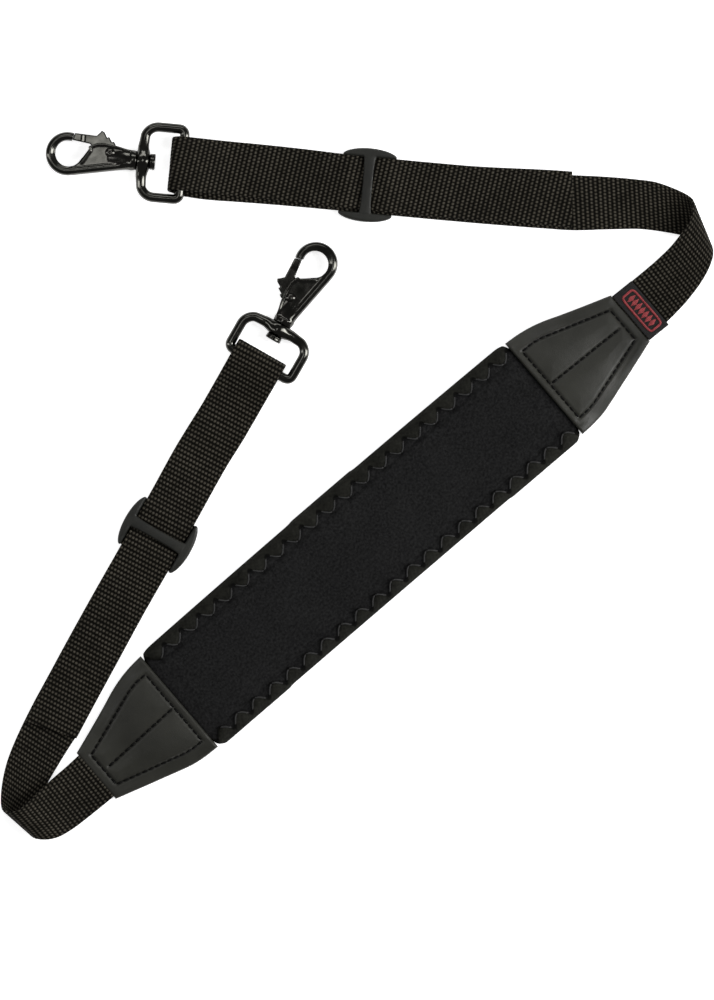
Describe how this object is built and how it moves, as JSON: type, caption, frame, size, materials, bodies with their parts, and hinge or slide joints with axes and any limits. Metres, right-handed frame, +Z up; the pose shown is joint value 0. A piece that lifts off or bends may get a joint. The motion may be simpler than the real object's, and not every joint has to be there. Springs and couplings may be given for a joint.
{
  "type": "saxophone neck strap",
  "caption": "Padded neck strap laid flat: wide stitched shoulder pad with leather end tabs, folded webbing ends, plastic sliders, D-shaped eyes and swivelling snap hooks.",
  "frame": {"origin": "centre of the shoulder pad's underside, on the surface that the strap lies on", "axes": "+X along the pad towards the end with the label, +Y across the pad towards the folded-back webbing and the hooks, +Z up off the surface"},
  "size_m": [0.4278, 0.2673, 0.0127],
  "materials": {
    "foam": "matt closed-cell foam",
    "pad_knit": "brushed knit",
    "pad_lining": "smooth knit",
    "binding": "satin woven binding",
    "binding_thread": "thread",
    "thread": "waxed thread",
    "leather": "smooth satin",
    "webbing": "woven polypropylene, coarse weave",
    "label": "woven label with a red motif",
    "slider_plastic": "fine satin moulding",
    "gunmetal": "gloss black gunmetal",
    "spring_steel": "drawn wire"
  },
  "bodies": {
    "strap": {"pad_core": "foam", "pad_face": "pad_knit", "pad_lining": "pad_lining", "front_binding": "binding", "rear_binding": "binding", "front_binding_stitching": "binding_thread", "rear_binding_stitching": "binding_thread", "right_tab_under": "leather", "right_tab_top": "leather", "right_tab_stitching": "thread", "right_webbing": "webbing", "left_tab_under": "leather", "left_tab_top": "leather", "left_tab_stitching": "thread", "left_webbing": "webbing", "label_band": "label"},
    "right_slider": {"right_slider": "slider_plastic"},
    "right_eye": {"right_strap_eye": "gunmetal"},
    "right_hook": {"right_hook_body": "gunmetal", "right_swivel_rivet": "gunmetal", "right_gate_pin": "gunmetal", "right_gate_spring": "spring_steel"},
    "right_gate": {"right_hook_gate": "gunmetal"},
    "left_slider": {"left_slider": "slider_plastic"},
    "left_eye": {"left_strap_eye": "gunmetal"},
    "left_hook": {"left_hook_body": "gunmetal", "left_swivel_rivet": "gunmetal", "left_gate_pin": "gunmetal", "left_gate_spring": "spring_steel"},
    "left_gate": {"left_hook_gate": "gunmetal"}
  },
  "joints": [
    {"name": "right_eye_hinge", "type": "hinge", "parent": "strap", "child": "right_eye", "pos_m": [0.0518, 0.189, 0.005], "axis": [0.7181, 0.6959, 0], "range_deg": [-100, 100]},
    {"name": "right_hook_swivel", "type": "hinge", "parent": "right_eye", "child": "right_hook", "pos_m": [0.03649, 0.2048, 0.005], "axis": [-0.6959, 0.7181, 0], "continuous": true},
    {"name": "right_gate_pivot", "type": "hinge", "parent": "right_hook", "child": "right_gate", "pos_m": [0.03, 0.21494, 0.005], "axis": [0, 0, 1], "range_deg": [0, 24], "stiffness_Nm_per_rad": 0.05, "springref_deg": -22.92, "deforming": ["right_gate_spring"]},
    {"name": "right_slider_travel", "type": "slide", "parent": "strap", "child": "right_slider", "axis": [-0.6959, 0.7181, 0], "range_m": [-0.07, 0.05]},
    {"name": "left_eye_hinge", "type": "hinge", "parent": "strap", "child": "left_eye", "pos_m": [0.0187, 0.0956, 0.005], "axis": [0.3338, -0.9426, 0], "range_deg": [-100, 100]},
    {"name": "left_hook_swivel", "type": "hinge", "parent": "left_eye", "child": "left_hook", "pos_m": [0.03944, 0.10294, 0.005], "axis": [0.9426, 0.3338, 0], "continuous": true},
    {"name": "left_gate_pivot", "type": "hinge", "parent": "left_hook", "child": "left_gate", "pos_m": [0.04976, 0.10915, 0.005], "axis": [0, 0, -1], "range_deg": [0, 24], "stiffness_Nm_per_rad": 0.05, "springref_deg": -22.92, "deforming": ["left_gate_spring"]},
    {"name": "left_slider_travel", "type": "slide", "parent": "strap", "child": "left_slider", "axis": [0.9426, 0.3338, 0], "range_m": [-0.08, 0.055]}
  ]
}
